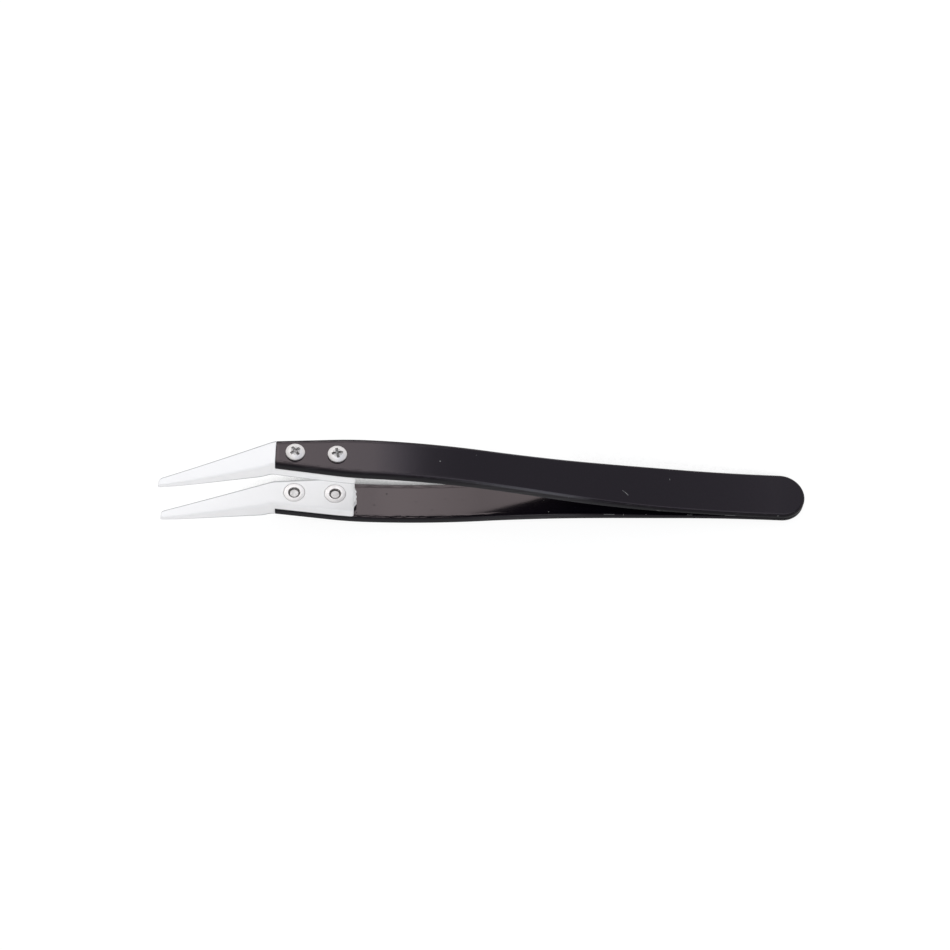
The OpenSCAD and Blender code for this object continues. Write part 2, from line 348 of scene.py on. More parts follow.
def moved(graph, mesh, x, y, z):
    place = graph.add("ShaderNodeCombineXYZ", [x, y, z])
    return graph.add("GeometryNodeSetPosition", {"Geometry": mesh, "Position": place})


def merged(graph, mesh, within=WELD):
    """Welds the points that meet."""
    return graph.add("GeometryNodeMergeByDistance", {"Geometry": mesh, "Distance": within})


def rod(graph, radius, depth, x, y, z, tilt=0, sides=ROUND_SIDES):
    """A cylinder about a place, turned about y by a tilt in degrees."""
    sizes = {"Vertices": sides, "Radius": radius, "Depth": depth}
    plain = graph.add("GeometryNodeMeshCylinder", sizes)
    place = graph.add("ShaderNodeCombineXYZ", [x, y, z])
    turn = graph.add("ShaderNodeCombineXYZ", [0.0, tilt * math.radians(1), 0.0])
    moves = {"Geometry": plain, "Translation": place, "Rotation": turn}
    return graph.add("GeometryNodeTransform", moves)


def cut(graph, body, cutters):
    meshes = {"Mesh 1": body, "Mesh 2": cutters}
    return graph.add("GeometryNodeMeshBoolean", meshes, operation="DIFFERENCE", solver="EXACT")


def stored(graph, mesh, name, value, domain="POINT"):
    """Keeps a value for each point or face, for the finish to read."""
    sockets = {"Geometry": mesh, "Name": name, "Value": value}
    kind = "GeometryNodeStoreNamedAttribute"
    return graph.add(kind, sockets, data_type="FLOAT", domain=domain)


def close_tree(graph, mesh, material):
    """Ends a tree: smooth faces, crisp edges, a real mesh and one material."""
    smooth = {"Geometry": mesh, "Shade Smooth": True}
    soft = graph.add("GeometryNodeSetShadeSmooth", smooth, domain="FACE")
    sharp = graph.add("GeometryNodeInputMeshEdgeAngle") > math.radians(CRISP_FROM)
    crisp_edges = {"Geometry": soft, "Selection": sharp, "Shade Smooth": False}
    crisp = graph.add("GeometryNodeSetShadeSmooth", crisp_edges, domain="EDGE")
    real = graph.add("GeometryNodeRealizeInstances", {"Geometry": crisp})
    painted = graph.add("GeometryNodeSetMaterial", {"Geometry": real, "Material": material})
    graph.add("NodeGroupOutput", {"Mesh": painted}, output=None)
    return graph.tree


# %% [markdown]
# `grow` runs a tree on an empty object and keeps the result as a plain mesh in its place. The
# object itself stays at the origin. A mirrored place would turn the mesh inside out, so its faces
# are flipped back.

# %% Grow a piece from its tree
def grow(name, tree, place, sizes, blank=None):
    """Runs a tree on a new object and keeps the result as a plain mesh in its place."""
    piece = bpy.data.objects.new(name, blank or bpy.data.meshes.new(name))
    bpy.context.scene.collection.objects.link(piece)
    modifier = piece.modifiers.new("shape", "NODES")
    modifier.node_group = tree
    inputs = {s.name: s.identifier for s in tree.interface.items_tree if s.in_out == "INPUT"}
    for key, size in sizes.items():
        modifier[inputs[label(key)]] = float(size)
    bpy.context.view_layer.update()
    evaluated = piece.evaluated_get(bpy.context.evaluated_depsgraph_get())
    mesh = bpy.data.meshes.new_from_object(evaluated)
    piece.modifiers.clear()
    piece.data = mesh
    finish = next(material for material in mesh.materials if material)
    mesh.materials.clear()
    mesh.materials.append(finish)
    mesh.transform(place)
    if place.determinant() < 0:
        mesh.flip_normals()
    shell = bmesh.new()
    shell.from_mesh(mesh)
    open_edges = sum(not edge.is_manifold for edge in shell.edges)
    shell.free()
    print(f"{name}: {len(mesh.polygons)} faces, {open_edges} open edges")
    return piece


# %% [markdown]
# The arm's surface is one grid. Its columns run round the plan outline, from the nose along one
# side, round the heel and back. Its rows run across the section, from the middle of the inner
# face round both edges to the middle of the outer face. Every point's place is a sum on its
# column and row. A bevelled block would be quicker, but its edges would all be alike, and here
# the outer ones are rounder. A row held close to each edge keeps the wide faces flat in the
# reflections. The grid stores each point's share of edge wear and painted highlight, its
# sideways facing and its distance from the edge, for the finish. The screw holes and the pockets
# of the heel welds are then cut out.

# %% The arm's modelling tree
HEEL_STEPS = 26
SIDE_STEPS = 210
NOSE_STEPS = 3
END_COLUMN = HEEL_STEPS + SIDE_STEPS + NOSE_STEPS + 2
EDGE_STEPS = 6
FACE_REACH = (1, 0.5, 0)
HOLD = 0.12
INNER_EDGE_WEAR_AND_LIGHT = 0.3
FRONT_SCREW, REAR_SCREW = -3.8, -12.1
ARM_HOLE = 2.2
WELD_POCKET, WELD_DEPTH = 3.16, 0.45
WELD_BACK, WELD_SIDE = 4.8, 2.3
THROUGH = 4


def edge_row_shares():
    """From the side wall to the middle of a face: inset, depth, hold, reach, wear and painted
    light, and side.
    """
    turns = [90 * i / EDGE_STEPS for i in range(EDGE_STEPS + 1)]
    rounding = [(1 - cosine(t), 1 - sine(t), 0, 1, sine(2 * t), cosine(t)) for t in turns]
    return rounding + [(1, 0, 1, reach, 0, 0) for reach in FACE_REACH]


def arm_cutters(graph, strip):
    """The two screw holes, square to the nose's slope, and the two pockets at the heel."""
    cutters = []
    for back in (FRONT_SCREW, REAR_SCREW):
        x = strip.length + back * cosine(strip.nose_slope)
        z = inner_z(strip, strip.length) + back * sine(strip.nose_slope)
        deep = strip.grip_thickness * THROUGH
        cutters.append(rod(graph, ARM_HOLE / 2, deep, x, 0.0, z, -strip.nose_slope))
    for y in (-WELD_SIDE, WELD_SIDE):
        cutters.append(rod(graph, WELD_POCKET / 2, 2 * WELD_DEPTH, WELD_BACK, y, 0.0))
    return cutters


def arm_tree(material):
    graph, strip = modelling_tree("coated_arm", ARM)
    with_ends(strip)
    half = edge_row_shares()
    rows = half[::-1] + half
    grid, column, row = numbered_grid(graph, 2 * END_COLUMN + 1, len(rows))
    inset_share, depth_share, held, reach, wear_and_painted_light, side_wall = (
        choose(graph, row, [float(r[i]) for r in rows]) for i in range(6)
    )

    outer = row > len(half) - 0.5
    # Wear and painted highlight are weaker on the inner edges.
    wear_and_painted_light = wear_and_painted_light * pick(outer, 1, INNER_EDGE_WEAR_AND_LIGHT)
    radius = pick(outer, strip.outer_edge_radius, strip.inner_edge_radius)
    inset = radius * inset_share + HOLD * held
    depth = radius * depth_share

    side = pick(column > END_COLUMN, 1, -1)
    step = abs(column - END_COLUMN)
    heel_radius = strip.heel_width / 2
    heel_turn = clip(step / HEEL_STEPS, 0, 1) * 90
    along = clip((step - HEEL_STEPS) / SIDE_STEPS, 0, 1)
    nose_step = step - HEEL_STEPS - SIDE_STEPS
    nose_turn = clip(nose_step / NOSE_STEPS, 0, 1) * 90
    nose_hold = nose_step > NOSE_STEPS + 0.5
    closing = step > END_COLUMN - 0.5

    on_heel = step < HEEL_STEPS
    turning = heel_radius - inset
    shrink = strip.nose_edge_radius * (1 - cosine(nose_turn)) + HOLD * nose_hold
    straight_x = heel_radius + along * (strip.length - strip.nose_edge_radius - heel_radius)
    x = pick(on_heel, heel_radius - turning * cosine(heel_turn), straight_x)
    x = x + strip.nose_edge_radius * sine(nose_turn)
    y = pick(on_heel, turning * sine(heel_turn), half_width(strip, x) - inset - shrink)
    y = y * reach * side * (1 - closing)
    inner, far = inner_z(strip, x), outer_z(strip, x)
    z = pick(outer, far - depth - shrink, inner + depth + shrink)
    z = pick(closing, (inner + far) / 2, z)

    from_heel_edge = heel_radius - ((heel_radius - x) ** 2 + y**2) ** 0.5
    from_edge = pick(x < heel_radius, from_heel_edge, half_width(strip, x) - abs(y))
    for key, value in (("edge_wear", wear_and_painted_light), ("side_wall", side_wall), ("from_edge", from_edge)):
        grid = stored(graph, grid, key, value)
    mesh = merged(graph, moved(graph, grid, x, y, z))
    return close_tree(graph, cut(graph, mesh, arm_cutters(graph, strip)), material)


print("arm grid", 2 * END_COLUMN + 1, "columns by", 2 * len(edge_row_shares()), "rows")

# %% [markdown]
# The tip is one piece of moulded zirconia: a plate that lies under the arm, a shoulder that meets
# the arm's nose, and a free tip that turns sideways at the elbow while it gets slimmer and
# thinner. Its near side is fuller than a straight taper, and its end is blunt. Each station has
# its own middle, width, height and edge radius, so the tip isn't a cut box but a loft through
# rounded rectangles, in mesh code.

# %% The ceramic tip's stations
PLATE_EDGE = 0.4
ELBOW_NEAR_EDGE, ELBOW_FAR_EDGE = 0.65, 0.32
END_EDGES = 0.28
LEAST_EDGE = 0.025
CORNER_SHARE = 0.4
SIDE_SWELL = 0.42
SWELL_WITHIN = 3.0
SIDE_SWELL_FALL = 8
END_SWELL_LEFT, END_SWELL_RIGHT = 0.2, 0.12
END_SWELL_GROWTH = 2
END_THICKER = 0.25
END_THICKER_GROWTH = 4
CORNER_STEPS = 6
WIDE_SHARES = [0.03, 0.07, *[0.1 * i + 0.1 for i in range(9)], 0.94, 0.98]
TALL_SHARES = [0.06, 0.25, 0.5, 0.75, 0.94]


def rounded_ring(x, sides, heights, left_edge, right_edge, set_back=0.0):
    """A rounded rectangle across x, whose left wall can lean by setting its top back."""
    (y0, y1), (z0, z1) = sides, heights
    most = CORNER_SHARE * min(y1 - y0 - set_back, z1 - z0)
    left, right = min(left_edge, most), min(right_edge, most)
    lean = math.degrees(math.atan2(set_back, z1 - z0))
    high_left = y0 + set_back + left * (1 - sine(lean)) / cosine(lean)
    low_left = y0 + left * (1 + sine(lean)) / cosine(lean)
    corners = [
        (y1 - right, z1 - right, right, 0, 90),
        (high_left, z1 - left, left, 90, 180 - lean),
        (low_left, z0 + left, left, 180 - lean, 270),
        (y1 - right, z0 + right, right, 270, 360),
    ]
    arcs = []
    for y, z, radius, first, last in corners:
        turns = [first + (last - first) * i / CORNER_STEPS for i in range(CORNER_STEPS + 1)]
        arcs.append([Vector((x, y + radius * cosine(t), z + radius * sine(t))) for t in turns])
    ring = []
    for i, arc in enumerate(arcs):
        shares = TALL_SHARES if i % 2 else WIDE_SHARES
        ring += arc + [arc[-1].lerp(arcs[(i + 1) % 4][0], share) for share in shares]
    return ring


def plate_station(x, inset=0.0):
    width = half_width(arm, arm.length + x * cosine(arm.nose_slope)) - inset
    edge = max(PLATE_EDGE - inset, LEAST_EDGE)
    return rounded_ring(x, (-width, width), (inset - PLATE_THICKNESS, -inset), edge, edge)


def tip_station(x, set_back=0.0, inset=0.0, top_drop=0.0):
    middle, width = tip_mid(x), tip_half(x) - inset
    share = x / TIP_REACH
    end_top = TIP_THICKNESS - PLATE_THICKNESS
    top = SEAT_TOP + (end_top - SEAT_TOP) * share - inset - top_drop
    top += END_THICKER * share**END_THICKER_GROWTH
    left_swell = END_SWELL_LEFT * share**END_SWELL_GROWTH
    right_swell = SIDE_SWELL * ease(x / SWELL_WITHIN)
    right_swell -= (SIDE_SWELL - END_SWELL_RIGHT) * share**SIDE_SWELL_FALL
    sides = (middle - width - left_swell, middle + width + right_swell)
    heights = (inset - PLATE_THICKNESS, top)
    grown = ease(x / (2 * ELBOW_BLEND))
    edges = []
    for elbow_edge in (ELBOW_FAR_EDGE, ELBOW_NEAR_EDGE):
        edge = PLATE_EDGE + (elbow_edge - PLATE_EDGE) * grown
        edges.append(edge + (END_EDGES - edge) * share)
    return rounded_ring(x, sides, heights, *edges, set_back)


print(f"free tip {TIP_REACH} mm long, elbow turned by {ELBOW_ANGLE} degrees")

# %% [markdown]
# The piece broke off its mould at the plate's rear end and left a rough nub there. Rather than
# sculpted by hand, its height is layers of noise, kept to where the mould's channel met the
# plate.

# %% The broken nub
GATE_HALF = 1.5
GATE_RISE = 0.95
GATE_PROUD = 0.5
GATE_FADE = 0.3
GATE_LEVEL = 0.7
GATE_LUMPS = [(1.1, 4.7, 0.9), (3.1, 1.3, 0.7), (7.3, 2.2, 0.35)]


def gate_relief(y, z):
    """How far the broken moulding nub stands out behind the plate."""
    across = ease((GATE_HALF - abs(y)) / (GATE_FADE * GATE_HALF))
    up = ease((GATE_RISE - abs(z + PLATE_THICKNESS / 2)) / (GATE_FADE * GATE_RISE))
    broken = sum(
        share * noise.noise(Vector((scale * y, scale * z, seed)))
        for scale, seed, share in GATE_LUMPS
    )
    return clip(GATE_PROUD * across * up * (GATE_LEVEL + broken), 0.0, GATE_PROUD)


# %% [markdown]
# The whole tip is a skin over its stations, which stand close together where something turns: at
# the plate's rear edge, the shoulder, the elbow and the end's corner. Along two long edges and
# round the end, a fine grey line of painted shade draws the outline; on a long edge only one side
# of its rounding is marked, so that the line stays fine.

# %% The whole blank
# Painted outline shade: which corners of each half get it, where it fades, and its share at the
# end.
SHADED_CORNERS = {"upper": (0, 1, 0, 1), "lower": (1, 0, 1, 0)}
SHADE_UNTIL, SHADE_FADE = 35, 45
END_OUTLINE_SHADE = 0.6
END_RINGS = 4
CAP_SHARES = [0.05 * i for i in range(1, 20)]
REAR_TURNS = (22.5, 45, 67.5, 90)
SHOULDER_TURNS = (30, 60, 90)
CORNER_TURNS = (15, 30, 45, 58, 70, 80)
END_TURNS = (0, 30, 60, 90)
PLATE_STEPS = 32
SHOULDER_GAP = 0.05
SHOULDER_EDGE = 0.15
SHOULDER_LEAN = 0.005
SHOULDER_DROPS = (0.8 * SEAT_TOP, SEAT_TOP / 2, SHOULDER_EDGE)
ELBOW_FROM, ELBOW_TO = 0.3, 2 * ELBOW_BLEND
ELBOW_STEPS = 12
TIP_STEPS = 48
CORNER_ROUND = 0.8
END_EDGE = 0.08
END_SET_BACK = 0.9


def loft(name, rings, shaded_corners):
    """A closed mesh through rings, with each point's painted outline shade fading along a corner.
    """
    shell = bmesh.new()
    rounding = shell.verts.layers.float.new("edge_wear")
    loops = [[shell.verts.new(point) for point in ring] for ring in rings]
    count = len(rings[0])
    turns = [90 * i / CORNER_STEPS for i in range(CORNER_STEPS + 1)]
    fade = [1 - ease((turn - SHADE_UNTIL) / SHADE_FADE) for turn in turns]
    wear_and_painted_light = []
    for i, (wear_and_painted_light_marks, shares) in enumerate(zip(shaded_corners, (WIDE_SHARES, TALL_SHARES) * 2)):
        wear_and_painted_light += [wear_and_painted_light_marks * share for share in (fade if i < 2 else fade[::-1])]
        wear_and_painted_light += [0.0] * len(shares)
    for loop in loops[:-END_RINGS]:
        for vertex, share in zip(loop, wear_and_painted_light):
            vertex[rounding] = share
    for vertex in (vertex for loop in loops[-END_RINGS:-1] for vertex in loop):
        vertex[rounding] = END_OUTLINE_SHADE
    for near, far in zip(loops, loops[1:]):
        for i in range(count):
            j = (i + 1) % count
            shell.faces.new((near[i], near[j], far[j], far[i]))
    for loop, turned_over in ((loops[0], True), (loops[-1], False)):
        middle = shell.verts.new(sum((v.co for v in loop), Vector()) / count)
        for i in range(count):
            pair = (loop[i], loop[(i + 1) % count])
            shell.faces.new((*(pair[::-1] if turned_over else pair), middle))
    mesh = bpy.data.meshes.new(name)
    shell.to_mesh(mesh)
    shell.free()
    return mesh


def evenly(first, last, steps):
    """Places between two ends, without the first one."""
    return [first + (last - first) * i / steps for i in range(1, steps + 1)]


def ceramic_blank(half):
    """The whole tip before it is bored for the nuts."""
    plate_end = -ARM["plate_length"]
    rear = plate_station(plate_end, PLATE_EDGE)
    middle = Vector((plate_end, 0, -PLATE_THICKNESS / 2))
    cap = [[middle.lerp(point, share) for point in rear] for share in CAP_SHARES]
    for point in (point for ring in cap for point in ring):
        point.x -= gate_relief(point.y, point.z)
    rings = [*cap, rear]
    for turn in REAR_TURNS:
        x = plate_end + PLATE_EDGE * (1 - cosine(turn))
        rings.append(plate_station(x, PLATE_EDGE * (1 - sine(turn))))
    for x in evenly(plate_end + PLATE_EDGE, SHOULDER_GAP, PLATE_STEPS):
        rings.append(plate_station(x))
    for i, drop in enumerate(SHOULDER_DROPS):
        rings.append(tip_station(SHOULDER_GAP + SHOULDER_LEAN * (i + 1), top_drop=drop))
    for turn in SHOULDER_TURNS:
        x = SHOULDER_GAP + SHOULDER_EDGE * (1 - cosine(turn))
        rings.append(tip_station(x, top_drop=SHOULDER_EDGE * (1 - sine(turn))))
    last = TIP_REACH - CORNER_ROUND
    bends = [ELBOW_FROM, *evenly(ELBOW_FROM, ELBOW_TO, ELBOW_STEPS)]
    rings += [tip_station(x) for x in bends + evenly(ELBOW_TO, last, TIP_STEPS)]
    for turn in CORNER_TURNS:
        x = last + (CORNER_ROUND - END_EDGE) * sine(turn)
        rings.append(tip_station(x, CORNER_ROUND * (1 - cosine(turn))))
    for turn in END_TURNS:
        x = TIP_REACH - END_EDGE * (1 - sine(turn))
        inset = END_EDGE * (1 - cosine(turn))
        rings.append(tip_station(x, END_SET_BACK * CORNER_ROUND, inset))
    print(f"{half} blank: {len(rings)} rings of {len(rear)} points")
    return loft(f"{half}_ceramic_blank", rings, SHADED_CORNERS[half])


# %% [markdown]
# Each nut sits in a stepped bore: a wide seat for its flange and a narrower one for its sleeve.
# Boring is a plain difference of solids, done in a tree so that it has named sizes.

# %% The tree that bores the ceramic
BORES = {"flange_bore": 4.4, "sleeve_bore": 3.1, "flange_depth": 0.9}
FLANGE_SIDES = 64


def bored_tree(material):
    graph, size = modelling_tree("bored_ceramic", BORES, from_mesh=True)
    sleeve, flange = size.sleeve_bore / 2, size.flange_bore / 2
    face = -PLATE_THICKNESS
    cutters = []
    for x in (FRONT_SCREW, REAR_SCREW):
        cutters.append(rod(graph, sleeve, THROUGH * PLATE_THICKNESS, x, 0.0, 0.0))
        deep = size.flange_depth * 2
        cutters.append(rod(graph, flange, deep, x, 0.0, face, sides=FLANGE_SIDES))
    return close_tree(graph, cut(graph, size.blank, cutters), material)


# %% [markdown]
# Screws and nuts are turned parts: a profile of radius and height, run round an axis. The Screw
# modifier does this to a curve. `turned` does it with one grid, whose rows pick their radius and
# height from the profile, so the profile can be sums on the named sizes.

# %% Helpers for turned parts
def laid_round(graph, grid, column, radius, height):
    """Lays a grid round z by its columns, at each point's radius and height."""
    angle = column * (360 / ROUND_SIDES)
    skin = moved(graph, grid, radius * cosine(angle), radius * sine(angle), height)
    return merged(graph, skin)


def turned(graph, profile):
    """A skin turned about z through a profile of radius and height."""
    grid, column, row = numbered_grid(graph, ROUND_SIDES + 1, len(profile))
    radius, height = (choose(graph, row, [point[i] for point in profile]) for i in (0, 1))
    return laid_round(graph, grid, column, radius, height)


def joined(graph, parts):
    together = graph.add("GeometryNodeJoinGeometry", {"Geometry": parts})
    return merged(graph, together, 4 * WELD)


def point_place(graph):
    place = graph.add("GeometryNodeInputPosition")
    return [graph.add("ShaderNodeSeparateXYZ", [place], i) for i in range(3)]


# %% [markdown]
# The screw has a low domed head with a cross recess, and a threaded shank. The thread is a grid
# of its own whose radius falls and rises with the height and the angle together, which is what a
# helix is. The recess is cut from the dome with two tapered wedges. Their walls, the shank and,
# faintly, its end and the head about the recess get a mark that the finish paints as dark shade
# and grime.

# %% The cross-head screw
SCREW = {
    "screw_diameter": 2.0,
    "thread_pitch": 0.4,
    "thread_depth": 0.2,
    "head_diameter": 3.8,
    "head_height": 0.9,
    "rim_height": 0.4,
    "recess_length": 2.6,
    "recess_width": 0.6,
    "recess_depth": 0.45,
    "recess_turn": 0.0,
}
SCREW_END_SUNK = 0.3
CHAMFER_SHARE = 0.075
THREAD_TURNS, ROWS_PER_TURN = 10, 8
THREAD_GAP = 0.2
THREAD_RUN_IN = 2
GROOVE_MIDDLE, GROOVE_SLOPE = 1.35, 3
HEAD_EDGE = 0.08
RIM_SHARE = 0.75
DOME_SHARES = (0.985, 0.95, 0.88, 0.78, 0.66, 0.5, 0.33, 0.16, 0)
DOME_POWER = 2.6
SLOT_TAPER, WALL_TAPER = 0.45, 0.2
SLOT_SHADE = 0.75
HEAD_SHADE, HEAD_SHADE_REACH = 0.34, 0.42
END_SHADE = 0.2
SHANK_SHARE = 0.8


def wedge(graph, length, width, depth, top, turn):
    """A cutter for one slot, narrower at its floor, that marks its walls for painted shade and
    grime.
    """
    size = graph.add("ShaderNodeCombineXYZ", [length, width, depth * 2])
    box = graph.add("GeometryNodeMeshCube", {"Size": size})
    x, y, z = point_place(graph)
    along = pick(z < 0, 1 - SLOT_TAPER, 1 + SLOT_TAPER) * x
    across = pick(z < 0, 1 - WALL_TAPER, 1 + WALL_TAPER) * y
    turned_x = along * cosine(turn) - across * sine(turn)
    turned_y = along * sine(turn) + across * cosine(turn)
    slot = moved(graph, box, turned_x, turned_y, z + top)
    return stored(graph, slot, "grime", SLOT_SHADE, "FACE")


def thread(graph, size, low, high):
    """The shank's skin, with a groove that climbs one pitch in each turn."""
    rows = THREAD_TURNS * ROWS_PER_TURN + 1
    grid, column, row = numbered_grid(graph, ROUND_SIDES + 1, rows)
    height = low + row / (rows - 1) * (high - low)
    phase = (height / size.thread_pitch - column / ROUND_SIDES).sum("FRACT")
    run_out = ease((high - height) / size.thread_pitch - THREAD_GAP)
    run_out = run_out * ease((height - low) / size.thread_pitch * THREAD_RUN_IN)
    groove = clip(GROOVE_MIDDLE - abs(phase - 0.5) * GROOVE_SLOPE, 0, 1)
    radius = size.screw_diameter / 2 - groove * size.thread_depth * run_out
    return laid_round(graph, grid, column, radius, height)


def screw_tree(material):
    graph, size = modelling_tree("cross_head_screw", SCREW)
    radius = size.screw_diameter / 2
    chamfer = CHAMFER_SHARE * size.screw_diameter
    end = SCREW_END_SUNK - PLATE_THICKNESS
    end_profile = [
        (0.0, end),
        (radius - chamfer, end),
        (radius - chamfer / 2, chamfer / 2 + end),
        (radius, chamfer + end),
    ]
    head = size.head_diameter / 2
    dome = size.head_height - size.rim_height
    head_profile = [
        (radius, SEAT_TOP),
        (head - HEAD_EDGE, SEAT_TOP),
        (head, SEAT_TOP + HEAD_EDGE),
        (head, size.rim_height * RIM_SHARE + SEAT_TOP),
    ]
    for share in DOME_SHARES:
        dome_z = size.rim_height + dome * (1 - share**DOME_POWER) + SEAT_TOP
        head_profile.append((head * share, dome_z))
    shank = thread(graph, size, chamfer + end, SEAT_TOP)
    body = joined(graph, [turned(graph, end_profile), shank, turned(graph, head_profile)])

    x, y, z = point_place(graph)
    off_axis = (x * x + y * y) ** 0.5
    on_shank = (z < SEAT_TOP) * (off_axis > radius * SHANK_SHARE)
    about_recess = (z > SEAT_TOP) * (off_axis < size.recess_length * HEAD_SHADE_REACH)
    at_end = (z < end + chamfer / 4) * END_SHADE
    # Painted shade with some grime: the shank in its bore, the head about the recess, the sunk
    # end.
    grime = on_shank + HEAD_SHADE * about_recess + at_end * (1 - on_shank)
    body = stored(graph, body, "grime", grime, "FACE")
    top = size.head_height + SEAT_TOP
    slot = (size.recess_length, size.recess_width, size.recess_depth, top)
    wedges = [wedge(graph, *slot, size.recess_turn + turn) for turn in (0, 90)]
    return close_tree(graph, cut(graph, body, wedges), material)


# %% [markdown]
# The nut is a short sleeve with a flange that lies flush in the ceramic: one closed profile
# turned round. The screw's end shows in its mouth, and the bore is marked for painted shade and
# grime.

# %% The sleeve nut
NUT = {
    "nut_diameter": 4.3,
    "flange_thickness": 0.9,
    "sleeve_diameter": 3.0,
    "bore_diameter": 2.04,
    "mouth_diameter": 2.5,
    "edge_round": 0.08,
}
ROUND_MIDDLE = 0.3


def nut_tree(material):
    graph, size = modelling_tree("sleeve_nut", NUT)
    face = -PLATE_THICKNESS
    flange, sleeve = size.nut_diameter / 2, size.sleeve_diameter / 2
    bore, mouth = size.bore_diameter / 2, size.mouth_diameter / 2
    flange_top = size.flange_thickness + face
    edge = size.edge_round
    profile = [
        (bore, 0.0),
        (bore, mouth - bore + face),
        (mouth, face),
        (flange - edge, face),
        (flange - ROUND_MIDDLE * edge, ROUND_MIDDLE * edge + face),
        (flange, edge + face),
        (flange, flange_top),
        (sleeve, flange_top),
        (sleeve, 0.0),
        (bore, 0.0),
    ]
    ring = joined(graph, [turned(graph, profile)])
    x, y, _ = point_place(graph)
    inside = (x * x + y * y) ** 0.5 < mouth
    # The bore and the mouth are marked for painted shade with some grime.
    return close_tree(graph, stored(graph, ring, "grime", inside, "FACE"), material)


# %% [markdown]
# A finish starts from where each point lies on the object, never from where the camera stands.
# These helpers give that place in millimetres, soft noise on it, mixes of colours, and marks
# along a short line.

# %% Helpers for finishes
MIX_SHARE, MIX_FIRST, MIX_SECOND, MIX_RESULT = 0, 6, 7, 2
SCRATCH_CORE = 1.6
TINY = 1e-6


def new_finish(name):
    material = bpy.data.materials.new(name)
    material.use_nodes = True
    material.node_tree.nodes.clear()
    return material, Graph(material.node_tree)


def close_finish(material, graph, surface):
    graph.add("ShaderNodeOutputMaterial", {"Surface": surface}, output=None)
    print("finish", material.name, "has", len(graph.tree.nodes), "nodes")
    return material


def own_place(graph, stretch=(1, 1, 1)):
    """A point's place on the object in millimetres, stretched along each axis."""
    place = graph.add("ShaderNodeTexCoord", output="Object")
    scale = tuple(share / MM for share in stretch)
    return graph.add("ShaderNodeMapping", {"Vector": place, "Scale": scale})


def cloudy(graph, place, scale, detail=2.0, seed=0.0):
    """Noise from 0 to 1 on a place, with scale in lumps per millimetre."""
    sockets = {"Vector": place, "W": seed, "Scale": scale, "Detail": detail}
    return graph.add("ShaderNodeTexNoise", sockets, noise_dimensions="4D")


def ramp(graph, share, stops):
    return graph.add("ShaderNodeValToRGB", [share], stops=stops)


def tinted(graph, share, first, second):
    """A colour between two, by a share from 0 to 1."""
    sockets = {MIX_SHARE: share, MIX_FIRST: first, MIX_SECOND: second}
    return graph.add("ShaderNodeMix", sockets, MIX_RESULT, data_type="RGBA")


def carried(graph, name):
    """A value that the modelling tree stored on the mesh."""
    return graph.add("ShaderNodeAttribute", output="Fac", attribute_name=name)


def relief(graph, height, depth):
    """A bump of that depth in metres."""
    return graph.add("ShaderNodeBump", {"Distance": depth, "Height": height})


def shader(graph, sockets):
    return graph.add("ShaderNodeBsdfPrincipled", sockets)


def grey(level):
    return (level, level, level, 1)


def vectors(graph, operation, inputs, output="Vector"):
    return graph.add("ShaderNodeVectorMath", inputs, output, operation=operation)


def line_mark(graph, place, start, end, radius):
    """1 on a short line between two places on the object, falling to 0 at its radius."""
    start, run = Vector(start), Vector(end) - Vector(start)
    from_start = vectors(graph, "SUBTRACT", [place, start])
    along = vectors(graph, "DOT_PRODUCT", [from_start, run], "Value")
    share = clip(along / max(run.length_squared, TINY), 0, 1)
    foot = vectors(graph, "SCALE", {0: run, "Scale": share})
    away = vectors(graph, "DISTANCE", [from_start, foot], "Value")
    return clip(SCRATCH_CORE - away * (SCRATCH_CORE / radius), 0, 1)


# %% [markdown]
# The arms' finish is a thin black lacquer on steel. One glossy shader would look like plastic.
# The faces are mirror smooth but for a slight orange peel, and their colour is close to zero, so
# that one mostly sees the room in them. Towards the nose the lacquer has gathered into a wavy
# lip inside the edges, a low ridge in the bump. On the side walls it lies thinner and duller, so
# a matt shader is mixed in there, by the share that the mesh carries. The edges are painted a
# lighter grey, partly as wear and partly as painted highlight, most where fingers hold the arms,
# and there the side walls get painted highlight streaks. A few scratches and pits are placed one
# by one, and with the scratches some painted glints on the lower arm's edge near the heel.

# %% Black coat
# Scratches and specks, and painted glints along the lower arm's edge near the heel: start, end,
# radius.
SCRATCHES_AND_GLINTS = [
    ((-8.55, 1.03, 17.03), (-8.60, 1.06, 17.04), 0.17),
    ((-1.43, 3.44, 15.38), (-1.43, 3.44, 15.38), 0.09),
    ((27.85, -0.58, 7.82), (28.40, -0.95, 7.70), 0.06),
    ((28.40, -0.95, 7.70), (28.95, -1.55, 7.57), 0.09),
    ((37.58, 3.23, 5.89), (37.62, 3.0, 5.89), 0.08),
    ((16.9, -3.5, 10.15), (16.9, -3.3, 10.0), 0.07),
    ((34.6, -3.75, 5.4), (35.3, -3.9, 5.1), 0.16),
    ((36.0, -3.95, 5.2), (37.6, -4.0, 4.9), 0.07),
    ((48.6, -3.87, 3.2), (50.6, -3.87, 3.0), 0.10),
    ((59.2, -3.9, 2.6), (61.6, -3.0, 2.45), 0.10),
    ((24.1, -3.55, 3.55), (26.2, -3.6, 3.53), 0.09),
    ((28.04, -3.6, 3.51), (28.04, -3.7, 3.4), 0.11),
    ((41.0, -3.62, 3.03), (42.0, -3.62, 2.98), 0.10),
    ((32.55, -3.57, 3.4), (32.65, -3.57, 3.4), 0.09),
    ((12.95, -2.69, 3.34), (12.95, -2.60, 3.34), 0.13),
    ((11.94, 0.08, 3.28), (11.98, 0.08, 3.28), 0.07),
]
